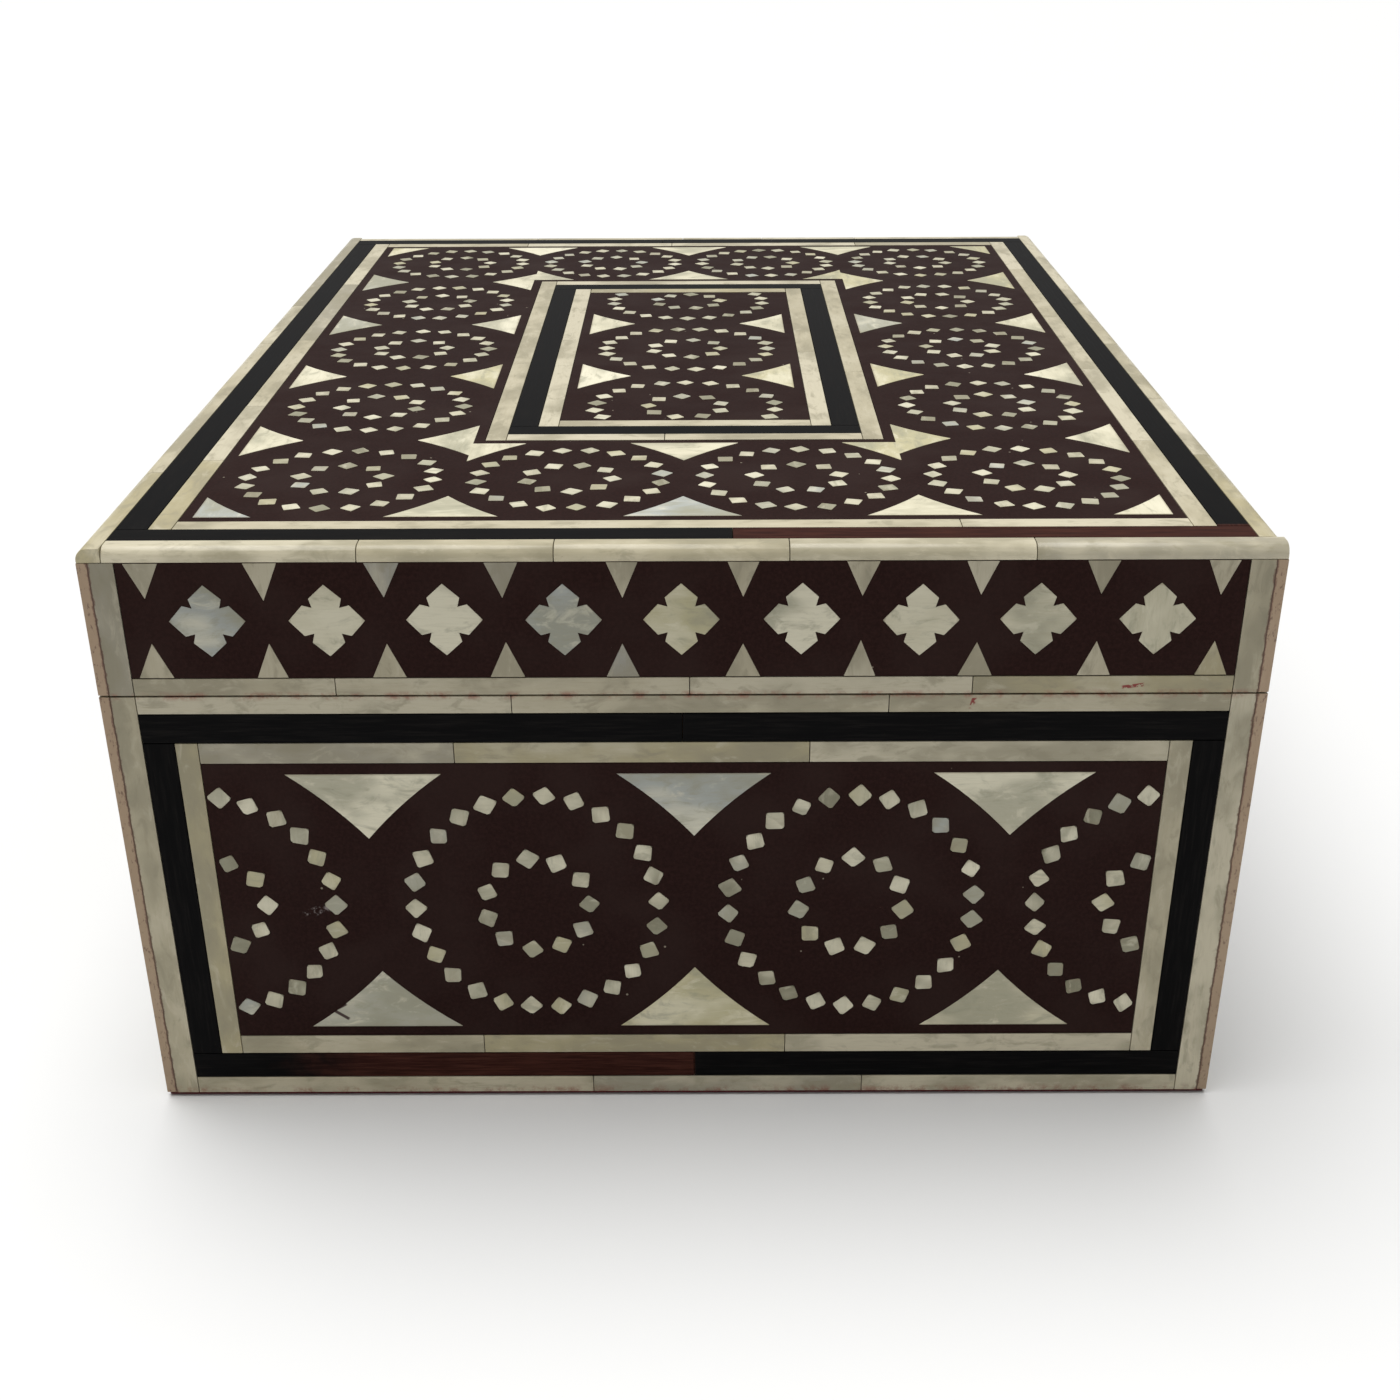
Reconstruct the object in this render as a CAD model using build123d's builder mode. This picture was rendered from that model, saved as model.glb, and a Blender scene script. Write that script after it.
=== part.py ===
from build123d import *
import os
from math import acos, degrees, inf, pi, radians, tan
from random import Random

os.makedirs("parts", exist_ok=True)

# A hinged wooden box veneered with bone strips and inlaid fields.
# Millimetres. The origin is the centre of the base, +X right, -Y front, +Z up.

# ---- overall sizes
width = 229.0
depth = 305.0
height = 127.0
lid_height = 30.3
parting_gap = 0.2

# ---- wooden carcass
wall = 10.0
base_thickness = 6.0
lid_board_thickness = 8.0
felt = 1.0
felt_inset = 0.5
lining = 1.0
lining_inset = 0.4

# ---- veneer and inlay
veneer = 2.1
top_layer = 2.8
ground_sink = 0.1
glue_line = 0.16

# ---- strip widths
corner_strip = 5.0
rim_strip = 3.8
lid_rim_strip = 3.7
foot_strip = 4.2
edge_bar = 4.8
edge_bar_rounding = 2.4
black_strip = 6.3
bone_strip = 4.6
strip_length = 62.0

# ---- joints between strips, as shares of each run, left to right or front to back
front_foot_joints = (0.405, 0.679)
front_rim_joints = (0.343, 0.688)
front_lid_rim_joints = (0.184, 0.506, 0.763)
front_frame_top_joints = (0.263, 0.630)
front_frame_bottom_joints = (0.273, 0.611)
side_band_top_joints = (0.499,)
side_band_bottom_joints = (0.508,)
left_bar_joints = (0.155, 0.355, 0.522, 0.667)
front_bar_joints = (0.215, 0.381, 0.580, 0.788)
right_bar_joints = (0.175, 0.325, 0.503, 0.662)
back_bar_joints = (0.27, 0.49, 0.61, 0.75)
lid_band_back_joints = (0.46,)
lid_band_front_joints = (0.544,)
lid_frame_joints = {
    "top": (0.232, 0.471, 0.775),
    "bottom": (0.774,),
    "left": (0.158, 0.309, 0.536, 0.781),
    "right": (0.201, 0.420, 0.620, 0.847),
}
centre_outer_joints = {"bottom": (0.444,), "left": (0.41,), "right": (0.351,)}
centre_inner_joints = {"left": (0.378, 0.567), "right": (0.47,)}

# ---- rosettes of square chips, on the body
chip_pitch = 6.15
chip_margin = 2.8
rosette_pitch = 65.3
rosette_drift = 2.0
half_rosette_overhang = 1.5
body_outer_ring = 25.4
body_inner_ring = 10.9
body_chip = 4.9

# ---- rosettes on the lid, in columns and rows round a centre panel
column_pitch = 47.7
row_pitch = 54.9
column_margin = 27.3
row_margin = 27.1
fewest_lines = 4
lid_outer_ring = 19.5
lid_inner_ring = 8.9
lid_chip = 4.5

# ---- centre panel of the lid, between the middle lines of the rosettes round it
centre_side_gap = 3.5
centre_end_gap = -0.4
centre_pitch = 55.4
centre_outer_ring = 21.3
centre_inner_ring = 8.9

# ---- hand work: how far pieces stray from the ideal
joint_variation = 0.18
cut_variation = 0.12
triangle_variation = 0.04
chip_turn = 7.0
chip_stray = 0.25

# ---- curved triangles between the rosettes
triangle_inset = 2.4
triangle_base = 31.5
triangle_height = 14.5
side_triangle_base = 22.8
side_triangle_height = 12.3
end_triangle_base = 23.4
end_triangle_height = 12.8
triangle_sag = 0.03

# ---- lid band: quatrefoils between pairs of straight triangles
quatrefoil_pitch = 22.8
quatrefoil_margin = 4.8
petal_reach = 7.35
petal_shoulder = 4.5
petal_half_width = 3.15
petal_neck = 2.65
band_triangle_base = 6.8
band_triangle_height = 7.6
band_triangle_inset = 0.15

# ---- butt hinges on the back
hinge_width = 38.0
hinge_inset = 45.0
leaf_thickness = 1.2
leaf_margin = 1.1
knuckle_radius = 2.5
middle_knuckle = 16.0
knuckle_gap = 0.2
knuckle_clearance = 0.3
pin_radius = 1.2
pin_fit = 0.05
pin_head_radius = 1.9
pin_head = 0.8
mortise_fit = 0.1
screw_pitch = 13.0
screw_length = 9.0
screw_tip = 1.6
screw_radius = 1.1
screw_head_radius = 2.2
screw_sink = 0.05
screw_fit = 0.05
screw_slot = 0.5
countersink_angle = 90

# ---- heights and lengths that follow
body_top = height - lid_height - parting_gap
parting = height - lid_height
floor_top = felt + base_thickness
lid_top = height - top_layer
lid_board_under = lid_top - lid_board_thickness
carcass_width = width - 2 * veneer
carcass_depth = depth - 2 * veneer
inside_width = carcass_width - 2 * wall
inside_depth = carcass_depth - 2 * wall
panel_bottom = felt + foot_strip
panel_top = body_top - rim_strip
border = black_strip + bone_strip
leaf_depth = wall + veneer - leaf_margin
hinge_places = [-(width / 2 - hinge_inset), width / 2 - hinge_inset]
pin_y = depth / 2 + knuckle_radius + knuckle_clearance
pin_z = body_top + parting_gap / 2

sides = ("front", "back", "left", "right")
face_length = {
    "front": carcass_width,
    "back": carcass_width,
    "left": depth,
    "right": depth,
}

hand = Random(12)


def face(side, middle):
    """The carcass face on one side: X to the right seen from outside, Y up, normal outwards."""
    across, out = {
        "front": ((1, 0, 0), (0, -1, 0)),
        "back": ((-1, 0, 0), (0, 1, 0)),
        "left": ((0, -1, 0), (-1, 0, 0)),
        "right": ((0, 1, 0), (1, 0, 0)),
    }[side]
    origin = (out[0] * carcass_width / 2, out[1] * carcass_depth / 2, middle)
    return Plane(origin=origin, x_dir=across, z_dir=out)


def save(piece, name):
    """Label a finished sub-part and write it as one STEP file."""
    piece.part.label = name
    export_step(piece.part, "parts/" + name + ".step", write_pcurves=False)


# ------------------------------------------------------------------ strips and frames
def even_joints(length):
    """Joints of a run of strips, as shares of its length, near the usual strip length."""
    count = max(2, round(length / strip_length))
    return [(number + hand.uniform(-joint_variation, joint_variation)) / count for number in range(1, count)]


def strips(place, length, breadth, joints=(), upright=False):
    """Strips laid end to end, each drawn back from its neighbours by half the glue line."""
    x, y = place
    ends = [0, *joints, 1]
    for start, end in zip(ends, ends[1:]):
        middle = ((start + end) / 2 - 0.5) * length
        along = (end - start) * length - glue_line
        across = breadth - glue_line
        if upright:
            with Locations((x, y + middle)):
                Rectangle(across, along)
        else:
            with Locations((x + middle, y)):
                Rectangle(along, across)


def frame(frame_width, frame_height, breadth, top=(), bottom=(), left=(), right=(), long_uprights=True):
    """Four runs of strips round a rectangle; either the uprights or the level runs go full length."""
    short_by = 2 * breadth
    level = frame_width - short_by if long_uprights else frame_width
    upright = frame_height if long_uprights else frame_height - short_by
    edge_x = (frame_width - breadth) / 2
    edge_y = (frame_height - breadth) / 2
    strips((0, edge_y), level, breadth, top)
    strips((0, -edge_y), level, breadth, bottom)
    strips((-edge_x, 0), upright, breadth, left, upright=True)
    strips((edge_x, 0), upright, breadth, right, upright=True)


# ------------------------------------------------------------------ inlay outlines
def chip(size):
    """A small hand-cut rhombus, one corner pointing out from the middle of its ring."""
    reach = [size / 2 * hand.uniform(1 - cut_variation, 1 + cut_variation) for corner in range(4)]
    turn = hand.uniform(-chip_turn, chip_turn)
    Polygon((reach[0], 0), (0, reach[1]), (-reach[2], 0), (0, -reach[3]), rotation=turn, align=None)


def ring_angles(radius, size, clear, facing):
    """Angles of the chips on a ring; one that would meet the frame, clear away, stays open there."""
    if radius + size / 2 <= clear:
        count = round(2 * pi * radius / chip_pitch)
        start = hand.uniform(0, 360 / count)
        return [start + 360 * number / count for number in range(count)]
    half_arc = pi - acos((clear - chip_margin) / radius)
    steps = max(1, round(2 * half_arc * radius / chip_pitch))
    return [facing + degrees(half_arc) * (2 * number / steps - 1) for number in range(steps + 1)]


def rosette(place, radii, size, clear=inf, facing=0.0):
    """Two rings of chips round one middle."""
    for radius in radii:
        for angle in ring_angles(radius, size, clear, facing):
            stray = hand.uniform(-chip_stray, chip_stray)
            with Locations(place):
                with PolarLocations(radius + stray, 1, start_angle=angle):
                    chip(size)


def triangle(base, tall, half=0):
    """A triangle standing on X whose sides curve inwards; half keeps one side of it, -1 or 1."""
    base *= hand.uniform(1 - triangle_variation, 1 + triangle_variation)
    tall *= hand.uniform(1 - triangle_variation, 1 + triangle_variation)
    left = (0, 0) if half > 0 else (-base / 2, 0)
    right = (0, 0) if half < 0 else (base / 2, 0)
    sag = triangle_sag * Vector(base / 2, tall).length
    with BuildSketch(mode=Mode.PRIVATE) as outline:
        with BuildLine():
            Line(left, right)
            if half < 0:
                Line(right, (0, tall))
            else:
                SagittaArc(right, (0, tall), sag)
            if half > 0:
                Line((0, tall), left)
            else:
                SagittaArc((0, tall), left, sag)
        make_face()
    return outline.sketch


def put(shape, x, y, turn=0.0):
    """Lay an outline at one place, turned about Z."""
    with Locations(Location((x, y, 0), (0, 0, turn))):
        add(shape)


def row_places(length):
    """Middles of a row of rosettes whose end ones are cut by the frame."""
    reach = length / 2 + half_rosette_overhang
    spaces = max(2, round(2 * reach / rosette_pitch))
    inner = [-reach + 2 * reach * number / spaces + rosette_drift for number in range(1, spaces)]
    return [-reach, *inner, reach]


def body_chips(length):
    """Rosettes along one body field, the end ones half hidden by the frame."""
    radii = (body_outer_ring, body_inner_ring)
    places = row_places(length)
    with BuildSketch() as outline:
        for x in places[1:-1]:
            rosette((x, 0), radii, body_chip)
        rosette((places[0], 0), radii, body_chip, -half_rosette_overhang, facing=0)
        rosette((places[-1], 0), radii, body_chip, -half_rosette_overhang, facing=180)
    return outline.sketch


def body_triangles(length, tall):
    """Pairs of triangles between neighbouring rosettes of one body field."""
    places = row_places(length)
    edge = tall / 2 - triangle_inset
    with BuildSketch() as outline:
        for left, right in zip(places, places[1:]):
            middle = (left + right) / 2
            put(triangle(triangle_base, triangle_height), middle, -edge)
            put(triangle(triangle_base, triangle_height), middle, edge, 180)
    return outline.sketch


def band_places(length):
    """Middles of the triangle pairs along a lid band, one more than its quatrefoils."""
    run = length - 2 * (quatrefoil_margin + corner_strip)
    count = max(1, round(run / quatrefoil_pitch))
    return [run * (number / count - 0.5) for number in range(count + 1)]


def quatrefoils(length, level):
    """Four-petalled crosses half way between the triangle pairs."""
    places = band_places(length)
    petal = [
        (0, 0),
        (petal_neck, -petal_neck),
        (petal_shoulder, -petal_half_width),
        (petal_reach, 0),
        (petal_shoulder, petal_half_width),
        (petal_neck, petal_neck),
    ]
    with BuildSketch() as outline:
        for left, right in zip(places, places[1:]):
            middle = (left + right) / 2 + hand.uniform(-chip_stray, chip_stray)
            with Locations((middle, level + hand.uniform(-chip_stray, chip_stray))):
                with PolarLocations(0, 4):
                    Polygon(*petal, align=None)
    return outline.sketch


def band_triangles(length, bottom, top):
    """Straight-sided triangles in facing pairs along a lid band."""
    with BuildSketch() as outline:
        for middle in band_places(length):
            for edge, inwards in ((bottom + band_triangle_inset, 1), (top - band_triangle_inset, -1)):
                x = middle + hand.uniform(-chip_stray, chip_stray)
                half = band_triangle_base / 2 * hand.uniform(1 - cut_variation, 1)
                tip = band_triangle_height * hand.uniform(1 - cut_variation, 1)
                Polygon((x - half, edge), (x + half, edge), (x, edge + inwards * tip), align=None)
    return outline.sketch


def spread(reach, pitch, fewest):
    """Places from -reach to reach, as near to the pitch as whole spaces allow."""
    spaces = max(fewest - 1, round(2 * reach / pitch))
    return [reach * (2 * number / spaces - 1) for number in range(spaces + 1)]


columns = spread(width / 2 - edge_bar - border - column_margin, column_pitch, fewest_lines)
rows = spread(depth / 2 - edge_bar - border - row_margin, row_pitch, fewest_lines)
centre_width = columns[-1] + columns[-2] - 2 * centre_side_gap
centre_depth = rows[-1] + rows[-2] - 2 * centre_end_gap


def lid_chips():
    """Rosettes all round the centre panel."""
    with BuildSketch() as outline:
        for x in columns:
            for y in rows:
                if abs(x) > centre_width / 2 or abs(y) > centre_depth / 2:
                    rosette((x, y), (lid_outer_ring, lid_inner_ring), lid_chip)
    return outline.sketch


def lid_triangles():
    """Triangles between the lid's rosettes, along the frame and along the centre panel."""
    field_x = width / 2 - edge_bar - border - triangle_inset
    field_y = depth / 2 - edge_bar - border - triangle_inset
    panel_x = centre_width / 2 + triangle_inset
    panel_y = centre_depth / 2 + triangle_inset
    with BuildSketch() as outline:
        for back, front in zip(rows, rows[1:]):
            middle = (back + front) / 2
            for x, turn in ((-field_x, -90), (-panel_x, 90), (panel_x, -90), (field_x, 90)):
                put(triangle(side_triangle_base, side_triangle_height), x, middle, turn)
        for left, right in zip(columns, columns[1:]):
            middle = (left + right) / 2
            put(triangle(end_triangle_base, end_triangle_height), middle, -field_y)
            put(triangle(end_triangle_base, end_triangle_height), middle, field_y, 180)
        for left, right in zip(columns[1:], columns[2:-1]):
            middle = (left + right) / 2
            put(triangle(end_triangle_base, end_triangle_height), middle, panel_y)
            put(triangle(end_triangle_base, end_triangle_height), middle, -panel_y, 180)
        for across in (-1, 1):
            put(triangle(end_triangle_base, end_triangle_height, -across), across * field_x, -field_y)
            put(triangle(end_triangle_base, end_triangle_height, across), across * field_x, field_y, 180)
            put(triangle(end_triangle_base, end_triangle_height, -across), across * panel_x, panel_y)
            put(triangle(end_triangle_base, end_triangle_height, across), across * panel_x, -panel_y, 180)
    return outline.sketch


def centre_rows(field_depth):
    """Places along the centre panel's one column of rosettes."""
    count = 1 + int(field_depth / centre_pitch)
    return [centre_pitch * (number - (count - 1) / 2) for number in range(count)]


def centre_chips(field_depth):
    """The centre column; the frame cuts the first and last rosettes."""
    with BuildSketch() as outline:
        for y in centre_rows(field_depth):
            room = field_depth / 2 - abs(y)
            rosette((0, y), (centre_outer_ring, centre_inner_ring), lid_chip, room, -90 if y > 0 else 90)
    return outline.sketch


def centre_triangles(field_width, field_depth):
    """Triangles between the centre rosettes, pointing inwards from both long sides."""
    places = centre_rows(field_depth)
    edge = field_width / 2 - triangle_inset
    with BuildSketch() as outline:
        for near, far in zip(places, places[1:]):
            middle = (near + far) / 2
            put(triangle(side_triangle_base, side_triangle_height), -edge, middle, -90)
            put(triangle(side_triangle_base, side_triangle_height), edge, middle, 90)
    return outline.sketch


def inlay(plane, outline, thickness, name):
    """Bone pieces of one pattern, cut through the whole veneer."""
    with BuildPart() as pieces:
        with BuildSketch(plane):
            add(outline)
        extrude(amount=thickness)
    save(pieces, name)


def ground(plane, field_width, field_height, holes, thickness):
    """The dark plate that holds the inlay, with a hole for each piece."""
    with BuildPart() as plate:
        with BuildSketch(plane):
            Rectangle(field_width - glue_line, field_height - glue_line)
            for outline in holes:
                add(outline, mode=Mode.SUBTRACT)
        extrude(amount=thickness - ground_sink)
    return plate


# ------------------------------------------------------------------ hinge cuts shared by wood and bone
def mortise_outline():
    """Pockets for both hinge leaves, open at the back."""
    reach = leaf_depth + mortise_fit
    for x in hinge_places:
        with Locations((x, depth / 2 - reach / 2)):
            Rectangle(hinge_width + 2 * mortise_fit, reach)


def cut_leaf_pockets(level):
    """Cut the pockets out of the part being built, upwards from one level."""
    with BuildSketch(Plane.XY.offset(level)) as pockets:
        mortise_outline()
    extrude(to_extrude=pockets.sketch, amount=leaf_thickness, mode=Mode.SUBTRACT)


def screw_places(level, up):
    """Places of the hinge screws on one leaf, their Z pointing out of the head."""
    y = (carcass_depth - wall) / 2
    spots = [(x + shift, y, level) for x in hinge_places for shift in (-screw_pitch, 0, screw_pitch)]
    return [Plane(origin=spot, x_dir=(1, 0, 0), z_dir=(0, 0, up)) for spot in spots]


# ------------------------------------------------------------------ body carcass
with BuildPart() as base_felt:
    with BuildSketch():
        Rectangle(width - 2 * felt_inset, depth - 2 * felt_inset)
    extrude(amount=felt)
save(base_felt, "base_felt")

with BuildPart() as base_board:
    with BuildSketch(Plane.XY.offset(felt)):
        Rectangle(carcass_width, carcass_depth)
    extrude(amount=base_thickness)
save(base_board, "base_board")

with BuildPart() as floor_lining:
    with BuildSketch(Plane.XY.offset(floor_top)):
        Rectangle(inside_width - 2 * lining_inset, inside_depth - 2 * lining_inset)
    extrude(amount=lining)
save(floor_lining, "floor_lining")


def carcass_side(side, bottom, top):
    """One wooden wall between two levels; side walls run the full depth, the others fit between them."""
    across = side in ("left", "right")
    sign = -1 if side in ("left", "front") else 1
    place = (sign * (carcass_width - wall) / 2, 0) if across else (0, sign * (carcass_depth - wall) / 2)
    size = (wall, carcass_depth) if across else (inside_width, wall)
    with BuildPart() as board:
        with BuildSketch(Plane.XY.offset(bottom)):
            with Locations(place):
                Rectangle(*size)
        extrude(amount=top - bottom)
        if side == "back":
            on_lid = bottom > body_top
            cut_leaf_pockets(bottom if on_lid else top - leaf_thickness)
            with Locations(*screw_places(bottom if on_lid else top, -1 if on_lid else 1)):
                Hole(screw_radius + screw_fit, depth=screw_length + screw_tip)
    return board


for side in sides:
    save(carcass_side(side, floor_top, body_top), side + "_wall")
    save(carcass_side(side, parting, lid_board_under), "lid_" + side + "_rail")

with BuildPart() as lid_board:
    with BuildSketch(Plane.XY.offset(lid_board_under)):
        Rectangle(carcass_width, carcass_depth)
    extrude(amount=lid_board_thickness)
save(lid_board, "lid_board")

with BuildPart() as lid_lining:
    with BuildSketch(Plane.XY.offset(lid_board_under - lining)):
        Rectangle(inside_width - 2 * lining_inset, inside_depth - 2 * lining_inset)
    extrude(amount=lining)
save(lid_lining, "lid_lining")


# ------------------------------------------------------------------ bone strips round body and lid
def corner_strips(bottom, top):
    """Upright strips at both ends of every side."""
    with BuildPart() as pieces:
        for side in sides:
            reach = (face_length[side] - corner_strip) / 2
            with BuildSketch(face(side, (bottom + top) / 2)):
                strips((-reach, 0), top - bottom, corner_strip, upright=True)
                strips((reach, 0), top - bottom, corner_strip, upright=True)
            extrude(amount=veneer)
    return pieces


def level_strips(bottom, breadth, front_joints, pocket_level=None):
    """A level run of strips on every side, between the corner strips, let in for the hinges where told."""
    with BuildPart() as pieces:
        for side in sides:
            run = face_length[side] - 2 * corner_strip
            joints = front_joints if side == "front" else even_joints(run)
            with BuildSketch(face(side, bottom + breadth / 2)):
                strips((0, 0), run, breadth, joints)
            extrude(amount=veneer)
        if pocket_level is not None:
            cut_leaf_pockets(pocket_level)
    return pieces


save(corner_strips(felt, body_top), "body_corner_strips")
save(corner_strips(parting, lid_top), "lid_corner_strips")
save(level_strips(felt, foot_strip, front_foot_joints), "body_foot_strips")
body_pocket = body_top - leaf_thickness
save(level_strips(panel_top, rim_strip, front_rim_joints, body_pocket), "body_rim_strips")
save(level_strips(parting, lid_rim_strip, front_lid_rim_joints, parting), "lid_rim_strips")

# ------------------------------------------------------------------ body panels
panel_height = panel_top - panel_bottom
panel_middle = (panel_top + panel_bottom) / 2
field_height = panel_height - 2 * border

for side in sides:
    plane = face(side, panel_middle)
    panel_length = face_length[side] - 2 * corner_strip
    frame_length = panel_length - 2 * black_strip
    field_length = panel_length - 2 * border

    with BuildPart() as black_band:
        with BuildSketch(plane):
            frame(
                panel_length,
                panel_height,
                black_strip,
                top=side_band_top_joints,
                bottom=side_band_bottom_joints,
                long_uprights=False,
            )
        extrude(amount=veneer)
    save(black_band, side + "_black_band")

    top_joints = front_frame_top_joints if side == "front" else even_joints(field_length)
    bottom_joints = front_frame_bottom_joints if side == "front" else even_joints(field_length)
    with BuildPart() as inner_frame:
        with BuildSketch(plane):
            frame(frame_length, panel_height - 2 * black_strip, bone_strip, top_joints, bottom_joints)
        extrude(amount=veneer)
    save(inner_frame, side + "_inner_frame")

    chips = body_chips(field_length)
    triangles = body_triangles(field_length, field_height)
    inlay(plane, chips, veneer, side + "_rosette_chips")
    inlay(plane, triangles, veneer, side + "_triangles")
    save(ground(plane, field_length, field_height, (chips, triangles), veneer), side + "_ground")

# ------------------------------------------------------------------ lid band
band_bottom = parting + lid_rim_strip
band_height = lid_top - band_bottom
band_level = (lid_top + band_bottom) / 2
band_crosses = {side: quatrefoils(face_length[side], 0) for side in sides}
band_points = {side: band_triangles(face_length[side], -band_height / 2, band_height / 2) for side in sides}

with BuildPart() as lid_quatrefoils:
    for side in sides:
        with BuildSketch(face(side, band_level)):
            add(band_crosses[side])
        extrude(amount=veneer)
save(lid_quatrefoils, "lid_quatrefoils")

with BuildPart() as lid_band_triangles:
    for side in sides:
        with BuildSketch(face(side, band_level)):
            add(band_points[side])
        extrude(amount=veneer)
save(lid_band_triangles, "lid_band_triangles")

with BuildPart() as lid_band_ground:
    for side in sides:
        plate = ground(
            face(side, band_level),
            face_length[side] - 2 * corner_strip,
            band_height,
            (band_crosses[side], band_points[side]),
            veneer,
        )
        add(plate.part)
save(lid_band_ground, "lid_band_ground")

# ------------------------------------------------------------------ top of the lid
top = Plane.XY.offset(lid_top)


def bar_run(place, length, joints, upright, outer_edge):
    """A run of edge bars, rounded along the edge that faces out."""
    with BuildPart() as bars:
        with BuildSketch(top):
            strips(place, length, edge_bar, joints, upright)
        extrude(amount=top_layer)
        along, across = (Axis.Y, Axis.X) if upright else (Axis.X, Axis.Y)
        upper = bars.edges().filter_by(along).group_by(Axis.Z)[-1]
        fillet(upper.group_by(across)[outer_edge], edge_bar_rounding)
    return bars.part


bar_x = (width - edge_bar) / 2
bar_y = (depth - edge_bar) / 2
with BuildPart() as lid_edge_bars:
    add(bar_run((-bar_x, 0), depth, left_bar_joints, True, 0))
    add(bar_run((edge_bar / 2, -bar_y), width - edge_bar, front_bar_joints, False, 0))
    add(bar_run((bar_x, edge_bar / 2), depth - edge_bar, right_bar_joints, True, -1))
    add(bar_run((0, bar_y), width - 2 * edge_bar, back_bar_joints, False, -1))
save(lid_edge_bars, "lid_edge_bars")

top_width = width - 2 * edge_bar
top_depth = depth - 2 * edge_bar
with BuildPart() as top_black_band:
    with BuildSketch(top):
        frame(
            top_width,
            top_depth,
            black_strip,
            top=lid_band_back_joints,
            bottom=lid_band_front_joints,
            long_uprights=False,
        )
    extrude(amount=top_layer)
save(top_black_band, "top_black_band")

with BuildPart() as top_inner_frame:
    with BuildSketch(top):
        frame(top_width - 2 * black_strip, top_depth - 2 * black_strip, bone_strip, **lid_frame_joints)
    extrude(amount=top_layer)
save(top_inner_frame, "top_inner_frame")

top_chips = lid_chips()
top_triangles = lid_triangles()
inlay(top, top_chips, top_layer, "top_chips")
inlay(top, top_triangles, top_layer, "top_triangles")

with BuildPart() as top_ground:
    top_holes = (top_chips, top_triangles)
    add(ground(top, top_width - 2 * border, top_depth - 2 * border, top_holes, top_layer).part)
    with BuildSketch(top):
        Rectangle(centre_width + glue_line, centre_depth + glue_line)
    extrude(amount=top_layer, mode=Mode.SUBTRACT)
save(top_ground, "top_ground")

# ------------------------------------------------------------------ centre panel of the lid
with BuildPart() as centre_outer_frame:
    with BuildSketch(top):
        frame(centre_width, centre_depth, bone_strip, **centre_outer_joints)
    extrude(amount=top_layer)
save(centre_outer_frame, "centre_outer_frame")

centre_black_width = centre_width - 2 * bone_strip
centre_black_depth = centre_depth - 2 * bone_strip
with BuildPart() as centre_black_band:
    with BuildSketch(top):
        frame(centre_black_width, centre_black_depth, black_strip, long_uprights=False)
    extrude(amount=top_layer)
save(centre_black_band, "centre_black_band")

centre_frame_width = centre_black_width - 2 * black_strip
centre_frame_depth = centre_black_depth - 2 * black_strip
with BuildPart() as centre_inner_frame:
    with BuildSketch(top):
        frame(centre_frame_width, centre_frame_depth, bone_strip, **centre_inner_joints)
    extrude(amount=top_layer)
save(centre_inner_frame, "centre_inner_frame")

centre_field_width = centre_frame_width - 2 * bone_strip
centre_field_depth = centre_frame_depth - 2 * bone_strip
middle_chips = centre_chips(centre_field_depth)
middle_triangles = centre_triangles(centre_field_width, centre_field_depth)
inlay(top, middle_chips, top_layer, "centre_chips")
inlay(top, middle_triangles, top_layer, "centre_triangles")
middle_holes = (middle_chips, middle_triangles)
save(ground(top, centre_field_width, centre_field_depth, middle_holes, top_layer), "centre_ground")

# ------------------------------------------------------------------ hinges
outer_knuckle = (hinge_width - middle_knuckle) / 2 - knuckle_gap
outer_knuckle_shift = (hinge_width - outer_knuckle) / 2
screw_head_depth = (screw_head_radius - screw_radius) / tan(radians(countersink_angle / 2))


def barrel(middle, length, radius, mode=Mode.ADD):
    """A cylinder along the pin's axis."""
    with BuildSketch(Plane.YZ.offset(middle - length / 2)) as end:
        with Locations((pin_y, pin_z)):
            Circle(radius)
    extrude(to_extrude=end.sketch, amount=length, mode=mode)


def hinge_leaves(level, up, knuckles):
    """One leaf of each hinge: a plate, its knuckles, the pin's bore and the countersunk holes."""
    with BuildPart() as leaves:
        for x in hinge_places:
            with BuildSketch(Plane.XY.offset(level)):
                with Locations((x, (depth - leaf_depth) / 2)):
                    Rectangle(hinge_width, leaf_depth)
                for shift, length in knuckles:
                    with Locations((x + shift, (depth / 2 + pin_y) / 2)):
                        Rectangle(length, pin_y - depth / 2)
            extrude(amount=-up * leaf_thickness)
            for shift, length in knuckles:
                barrel(x + shift, length, knuckle_radius)
            barrel(x, hinge_width, pin_radius + pin_fit, Mode.SUBTRACT)
        with Locations(*screw_places(level, up)):
            CounterSinkHole(
                screw_radius + screw_fit,
                screw_head_radius + screw_fit,
                counter_sink_angle=countersink_angle,
            )
    return leaves


outer_knuckles = ((-outer_knuckle_shift, outer_knuckle), (outer_knuckle_shift, outer_knuckle))
save(hinge_leaves(body_top, 1, outer_knuckles), "body_hinge_leaves")
save(hinge_leaves(parting, -1, ((0, middle_knuckle),)), "lid_hinge_leaves")

with BuildPart() as hinge_pins:
    for x in hinge_places:
        barrel(x, hinge_width, pin_radius)
        for end in (-1, 1):
            barrel(x + end * (hinge_width + pin_head) / 2, pin_head, pin_head_radius)
save(hinge_pins, "hinge_pins")


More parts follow.
